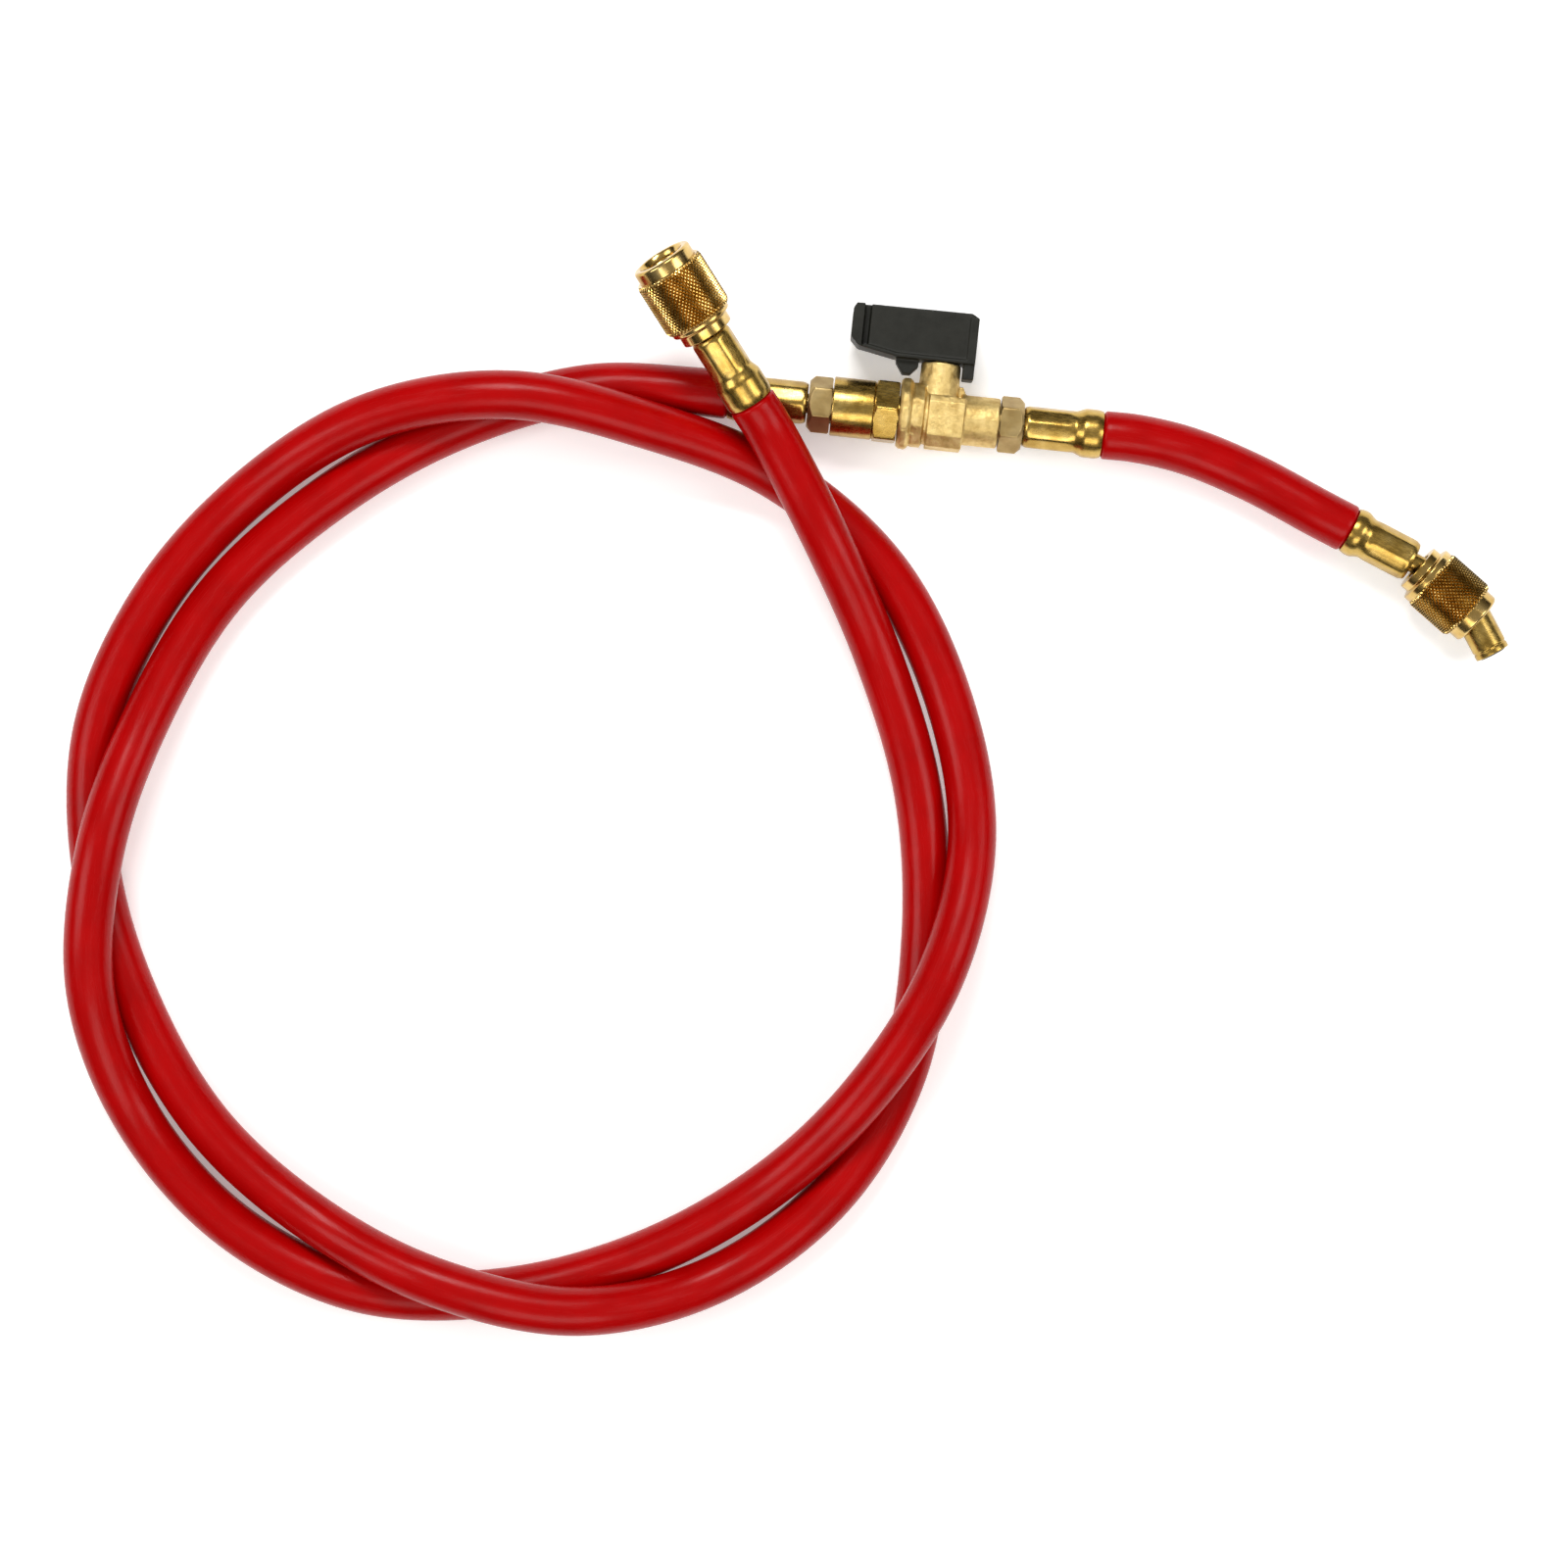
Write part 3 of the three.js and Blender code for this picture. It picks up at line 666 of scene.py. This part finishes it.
def bent_path(x):
    """The bent stem's centre and heading at a distance along it."""
    start = FERRULE_LENGTH_AT_BEND + BEND_START
    turned = max(0.0, min(BEND_ANGLE, (x - start) / BEND_RADIUS))
    along, aside = math.cos(turned), math.sin(turned)
    centre = Vector((start + BEND_RADIUS * aside, -BEND_RADIUS * (1 - along), 0))
    straight = x - start - BEND_RADIUS * turned
    return centre + Vector((along, -aside, 0)) * straight, -turned


BENT_STEM_END = FERRULE_LENGTH_AT_BEND + BEND_START + BEND_RADIUS * BEND_ANGLE + BEND_TAIL


def stem(name, where, start, end, path=None):
    profile = spread(sealed_profile(start, end), 0.9)
    mesh = skin(name, ringed(profile, even(72), path=path), loop=True)
    return piece(name + "_brass", mesh, where, "hose", (BRASS, "turned_brass"), [name])


def seal(name, where, end, path=None):
    start = end - SEAL_THICKNESS + CLEARANCE
    proud = end + SEAL_PROUD
    profile = arc([
        (start, PASSAGE_RADIUS), (start, SEAL_RADIUS), (proud, SEAL_RADIUS),
        (proud, PASSAGE_RADIUS),
    ], 0.45)
    mesh = skin(name, ringed(profile, even(56), path=path), loop=True)
    return piece(name + "_ring", mesh, where, "hose", (SEAL_RUBBER, "black_rubber"), [name])


def nut(name, where, body, hub, lip, knurl, front):
    """A loose nut, knurled outside and threaded inside. Each band is (radius, length)."""
    groove_spacing = 1.08
    row_spacing = 1.36
    cells = 6
    sharpness = 1.6
    depth = 0.52
    pitch = 1.27
    turns = 5
    steps_per_turn = 8
    thread_depth = 0.42
    rounding = 0.3
    grooves = round(2 * math.pi * knurl[0] / groove_spacing)
    lip_start = hub[1]
    knurl_start = lip_start + lip[1]
    knurl_end = knurl_start + knurl[1]
    end = knurl_end + front[1]
    rows = round(knurl[1] / row_spacing) * cells

    def wave(value):
        return 1 - abs(2 * (value % 1.0) - 1)

    def diamond(row):
        x = knurl_start + knurl[1] * row / rows
        eased = min(row, rows - row) / cells * 1.3

        def radius(angle):
            around = grooves * angle / (2 * math.pi)
            height = min(wave(around + row / cells), wave(around - row / cells))
            height = min(1, height * sharpness)
            return knurl[0] - depth * (1 - min(height, eased + 0.1))
        return x, radius

    def thread(x):
        def radius(angle):
            ease = step_up(end - NUT_MOUTH_DEPTH - x, 0, pitch)
            return NUT_THREAD_RADIUS - thread_depth * ease * wave(x / pitch - angle / (2 * math.pi))
        return x, radius

    back = arc([
        (NUT_BACK_WALL, NUT_THREAD_RADIUS), (NUT_BACK_WALL, NUT_HOLE_RADIUS),
        (0, NUT_HOLE_RADIUS), (0, hub[0]), (lip_start - 0.3, hub[0]),
        (lip_start, lip[0] - 0.6), (lip_start + 0.3, lip[0]),
        (knurl_start - 0.25, lip[0]), (knurl_start, knurl[0] - depth),
    ], rounding, loop=False)
    ahead = arc([
        (knurl_end, front[0]), (end - 0.5, front[0]), (end, front[0] - 0.5),
        (end, NUT_MOUTH_RADIUS), (end - NUT_MOUTH_DEPTH, NUT_THREAD_RADIUS),
    ], rounding, loop=False)
    first_thread = end - NUT_MOUTH_DEPTH - 0.02
    threads = [thread(first_thread - pitch * k / steps_per_turn)
               for k in range(turns * steps_per_turn)]
    knurled = [diamond(row) for row in range(rows + 1)]
    profile = back + knurled + ahead + threads
    angles = even(grooves * cells)
    mesh = skin(name, ringed(profile, angles), loop=True, knurl=(len(back), len(back) + rows))
    return piece(name + "_brass", mesh, where, body, (KNURLED, "turned_brass"), [name], smooth=38)


# Cast and moulded pieces: plain forms joined and cut, then rounded over.
def prism(outline, low, high):
    return skin("prism", [[Vector((x, y, z)) for x, y in outline] for z in (low, high)])


def block(x0, x1, y0, y1, z0, z1):
    return prism([(x0, y0), (x1, y0), (x1, y1), (x0, y1)], z0, z1)


def round_bar(profile, upright=False, sides=72):
    mesh = skin("bar", ringed(profile, even(sides)))
    if upright:
        mesh.transform(UPRIGHT)
    return mesh


def rod(start, end, radius, upright=False):
    return round_bar([(start, radius), (end, radius)], upright)


def moulded(name, parts, cuts, voxel, passes, relief=None):
    """Joins the parts, takes the cuts away and rounds every edge a little."""
    scratch = []
    for i, mesh in enumerate(parts + cuts):
        made = bpy.data.objects.new(f"{name}_form_{i}", mesh)
        bpy.context.scene.collection.objects.link(made)
        scratch.append(made)
    base = scratch[0]
    for i, other in enumerate(scratch[1:], 1):
        step = base.modifiers.new("form", "BOOLEAN")
        step.operation = "UNION" if i < len(parts) else "DIFFERENCE"
        step.solver = "EXACT"
        step.object = other
    remesh = base.modifiers.new("skin", "REMESH")
    remesh.mode = "VOXEL"
    remesh.voxel_size = voxel
    ease = base.modifiers.new("ease", "SMOOTH")
    ease.factor = 0.5
    ease.iterations = passes
    bpy.context.view_layer.update()
    shaped = base.evaluated_get(bpy.context.evaluated_depsgraph_get())
    mesh = bpy.data.meshes.new_from_object(shaped)
    for made in scratch:
        bpy.data.objects.remove(made)
    if relief:
        moved = [v.co + v.normal * relief(v.co) for v in mesh.vertices]
        mesh.vertices.foreach_set("co", [value for point in moved for value in point])
    mesh.materials.clear()
    return mesh


def cast_relief(point):
    """The forging's uneven skin: waves on its collar and rib, and small dents elsewhere."""
    wavy = 1 - step_up(point.x, BLOCK_START - 1, BLOCK_START + 1)
    wave = noise.noise(Vector((point.x * 0.5, point.y * 0.35, point.z * 0.35)))
    small = noise.noise(point * 1.1)
    return -0.05 + wavy * 0.3 * min(0.1, wave) + 0.05 * min(0.5, small)


def faceted(flat, corner):
    """The radius of a round bar with eight narrow flats."""
    return lambda angle: soft_min(corner, flat / math.cos(to_flat(angle, 8, 0)), 0.3)


def valve_body():
    """The forging: collar, rib and block in a row, with a boss for the stem on a shoulder."""
    voxel, passes = 0.22, 4
    side, side_top, side_bottom = 8, 3.4, -5.4
    shoulder, shoulder_side = 5.1, 7.1
    under, under_side = -8.3, 4.9
    section = [
        (side, side_top), (shoulder_side, shoulder), (-shoulder_side, shoulder),
        (-side, side_top), (-side, side_bottom), (-under_side, under), (under_side, under),
        (side, side_bottom),
    ]
    groove = 0.55
    main = prism(section, BLOCK_START + groove, BLOCK_END)
    main.transform(Matrix.Rotation(math.pi / 2, 4, "Y"))
    collar, collar_edge = faceted(9.3, 9.65), faceted(8.6, 8.9)
    rib, neck = faceted(8.3, 8.75), 7.5
    outlet, outlet_mouth = 6.6, 6.3
    boss_foot, boss_edge = 5.6, 5.05
    chamber = 4.8
    lug = [(-1.6, 4), (-1.6, 8.4), (-0.8, 8.4), (0, 6.8), (0, 4)]
    lug_half = 1.3
    parts = [
        main,
        round_bar([(BODY_START, collar_edge), (BODY_START + 0.7, collar),
                   (RIB_START - 0.8, collar), (RIB_START, collar_edge)], sides=144),
        rod(RIB_START - 1, BLOCK_START + 1, neck),
        round_bar([(RIB_START + 0.5, rib), (BLOCK_START - groove, rib)], sides=144),
        round_bar([(BLOCK_END - 1, outlet), (BODY_END - 0.4, outlet), (BODY_END, outlet_mouth)]),
        round_bar([(0, boss_foot), (shoulder, boss_foot), (shoulder + 0.5, 5.45),
                   (BOSS_TOP - 0.3, 5.25), (BOSS_TOP, boss_edge)], upright=True),
        prism([(BLOCK_END + x, y) for x, y in lug], -lug_half, lug_half),
    ]
    cuts = [
        rod(BODY_START - 1, SEAT_START + CLEARANCE, chamber),
        rod(0, BODY_END + 1, PORT_RADIUS),
        rod(BODY_END - SOCKET_DEPTH, BODY_END + 1, SOCKET_RADIUS),
        rod(0, BOSS_TOP + 1, STEM_RADIUS + CLEARANCE, upright=True),
    ]
    mesh = moulded("valve_body", parts, cuts, voxel, passes, cast_relief)
    finish = (FORGED, "forged_brass")
    return piece("valve_body_casting", mesh, VALVE, "hose", finish, ["valve_body"], smooth=180)


def handle():
    """The lever: a thick flat panel, a proud flange at its tip, rims, and two stops below."""
    voxel, passes = 0.22, 4
    bottom = BOSS_TOP + CLEARANCE
    tip, heel, top = -24.4, 8.6, 27.4
    tip_bottom, nose, undercut = 18.2, 2.1, -12
    face, flange, rim, groove, tab, stop = 4.5, 5.5, 4.85, 2.4, 3.9, 2.5
    flange_end = tip + 3
    groove_end = flange_end + 1.7
    rim_width = 0.9
    heel_rim = 2.2
    tab_bottom = 10.2
    past = 7
    rise = (tip_bottom - nose - bottom) / (undercut - tip - nose)

    def edge(x):
        return bottom + max(0, undercut - x) * rise

    toe = [(tip, tip_bottom), (tip + nose, tip_bottom - nose)]
    crown = [(tip + 0.8, top - 0.3), (tip, top - 1.7)]
    outline = [
        *toe, (undercut, bottom), (heel, bottom), (heel, top - 1.1), (heel - 1.9, top), *crown,
    ]
    rim_start = flange_end - 0.5
    proud = 0.03
    rim_outline = [
        (rim_start, edge(rim_start) - proud), (undercut, bottom - proud),
        (heel + proud, bottom - proud), (heel + proud, top - 1.1), (heel - heel_rim, top - 1.1),
        (heel - heel_rim, bottom + rim_width), (undercut, bottom + rim_width),
        (rim_start, edge(rim_start) + rim_width),
    ]
    tip_outline = [
        *toe, (flange_end, edge(flange_end) + proud), (flange_end, top - 0.2), *crown,
    ]
    skirt = [
        (undercut + proud, bottom + 1), (undercut + proud, 13), (undercut + 2, tab_bottom),
        (undercut + 4, tab_bottom), (undercut + 6, 12.4), (undercut + 6, bottom + 1),
    ]
    parts = [
        prism(outline, -face, face),
        prism(tip_outline, -flange, flange),
        prism(rim_outline, -rim, rim),
        block(BOSS_RADIUS + CLEARANCE, heel, tab_bottom, bottom + 1, -tab, tab),
        prism(skirt, -stop, stop),
    ]
    groove_floor = edge(groove_end) + rim_width
    cuts = [
        block(flange_end, groove_end, groove_floor, top + 1, -past, -groove),
        block(flange_end, groove_end, groove_floor, top + 1, groove, past),
        rod(bottom - 1, STEM_TOP + CLEARANCE, STEM_RADIUS + CLEARANCE, upright=True),
        rod(bottom, top + 1, 1.5, upright=True),
        rod(STEM_TOP + CLEARANCE + 1, top + 1, 2.8, upright=True),
    ]
    mesh = moulded("handle", parts, cuts, voxel, passes)
    finish = (PLASTIC, "black_plastic")
    return piece("handle_moulding", mesh, VALVE, "lever", finish, ["handle"], smooth=180)


def valve_stem():
    """The stem under the lever, with a tang for the ball and a hole for the screw."""
    voxel, passes = 0.14, 1
    shoulder = 4.8
    tang = block(-2.4, 2.4, 3.5, 5.3, -0.9, 0.9)
    hole = rod(16, STEM_TOP + 1, 1.5, upright=True)
    profile = arc([(shoulder, STEM_RADIUS), (STEM_TOP, STEM_RADIUS)], 0.2, loop=False)
    bar = round_bar(profile, upright=True)
    mesh = moulded("valve_stem", [bar, tang], [hole], voxel, passes)
    finish = (BRASS, "turned_brass")
    return piece("valve_stem_brass", mesh, VALVE, "lever", finish, ["valve_stem"], smooth=180)


def handle_screw():
    """The slotted screw that holds the lever on its stem."""
    voxel, passes = 0.1, 1
    low = STEM_TOP + 2 * CLEARANCE + 1
    high = low + 2
    radius = 2.5
    head = round_bar(
        [(low, radius - 0.1), (low + 0.2, radius), (high - 0.5, radius), (high, 2.05)], upright=True
    )
    shank = rod(16.6, low + 1, 1.2, upright=True)
    slot = block(-3, 3, high - 0.8, high + 1, -0.4, 0.4)
    mesh = moulded("handle_screw", [head, shank], [slot], voxel, passes)
    finish = (STEEL, "plated_steel")
    return piece("handle_screw_steel", mesh, VALVE, "lever", finish, ["handle_screw"], smooth=180)


ferrule("ferrule_inlet", INLET_END, FERRULE_LENGTH, VALVE_BELL)
ferrule("ferrule_outlet", OUTLET_END, FERRULE_LENGTH, VALVE_BELL)
straight_ferrule = ferrule("ferrule_straight", STRAIGHT_END, FERRULE_LENGTH, STRAIGHT_BELL)
bent_ferrule = ferrule("ferrule_bent", BENT_END, FERRULE_LENGTH_AT_BEND, BENT_BELL)
nipple("inlet_nipple", INLET_END)
nipple("outlet_nipple", OUTLET_END)
valve_cap()
valve_body()
valve_stem()
handle()
handle_screw()

straight_pieces = [
    straight_ferrule,
    stem("stem_straight", STRAIGHT_END, FERRULE_LENGTH - TAIL_REACH, STRAIGHT_STEM_END),
    seal("seal_straight", STRAIGHT_END, STRAIGHT_STEM_END),
    nut("nut_straight", STRAIGHT_NUT, "straight_nut", (7, 3), (8.3, 1.5), (9.3, 15), (8.1, 3.5)),
]
bent_pieces = [
    bent_ferrule,
    stem("stem_bent", BENT_END, FERRULE_LENGTH_AT_BEND - TAIL_REACH, BENT_STEM_END, bent_path),
    seal("seal_bent", BENT_END, BENT_STEM_END, bent_path),
    nut("nut_bent", BENT_NUT, "bent_nut", (6.5, 2.5), (8.2, 2), (8.6, 13), (7.3, 3.5)),
]

# Solids that stay as they are get a finished material.
for solid, finish, slot in (
    ("valve_ball", BRASS, "turned_brass"),
    ("seat_inlet", SEAT_PLASTIC, "white_plastic"),
    ("seat_outlet", SEAT_PLASTIC, "white_plastic"),
):
    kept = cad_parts[solid]
    for holder in kept.material_slots:
        holder.material = finish


# Studio.
def floor():
    reach = 4
    made = bpy.data.materials.new("floor")
    made.use_nodes = True
    surface = made.node_tree.nodes["Principled BSDF"]
    surface.inputs["Base Color"].default_value = (0.93, 0.93, 0.93, 1)
    surface.inputs["Roughness"].default_value = 0.9
    surface.inputs["Specular IOR Level"].default_value = 0.1
    surface.inputs["Emission Color"].default_value = (1, 1, 1, 1)
    surface.inputs["Emission Strength"].default_value = 0.3
    mesh = bpy.data.meshes.new("floor")
    corners = [(-reach, -reach, 0), (reach, -reach, 0), (reach, reach, 0), (-reach, reach, 0)]
    mesh.from_pydata(corners, [], [(0, 1, 2, 3)])
    mesh.materials.append(made)
    plane = bpy.data.objects.new("floor", mesh)
    bpy.context.scene.collection.objects.link(plane)


def lamp(name, where, aim, size, power, color=(1, 1, 1)):
    data = bpy.data.lights.new(name, "AREA")
    data.shape = "RECTANGLE"
    data.size, data.size_y = size
    data.energy = power
    data.color = color
    made = bpy.data.objects.new(name, data)
    made.location = where
    made.rotation_euler = (Vector(aim) - Vector(where)).to_track_quat("-Z", "Y").to_euler()
    bpy.context.scene.collection.objects.link(made)


def soft_box():
    """Light from all round: pale overhead, dark towards the horizon."""
    world = bpy.data.worlds.new("studio")
    world.use_nodes = True
    tree = world.node_tree
    direction = node(tree, "ShaderNodeTexCoord").outputs["Generated"]
    height = node(tree, "ShaderNodeSeparateXYZ", {0: direction}).outputs["Z"]
    background = tree.nodes["Background"]
    background.inputs["Color"].default_value = (1, 0.97, 0.92, 1)
    strength = between(tree, height, 0.04, 0.42, start=0.2, end=0.9)
    tree.links.new(strength, background.inputs["Strength"])
    return world


def studio():
    floor()
    middle = (-0.075, -0.085, 0)
    lamp("key", (-0.2, 0.85, 1.2), middle, (0.6, 0.35), 13)
    lamp("front", (0, -0.95, 1.1), middle, (0.9, 0.6), 6.5, (1, 0.98, 0.95))
    lamp("right", (1, 0, 1), middle, (0.5, 0.7), 6)
    lamp("left", (-1.1, -0.1, 1), middle, (0.5, 0.7), 6)
    scene = bpy.context.scene
    scene.world = soft_box()
    scene.view_settings.view_transform = "Standard"


studio()
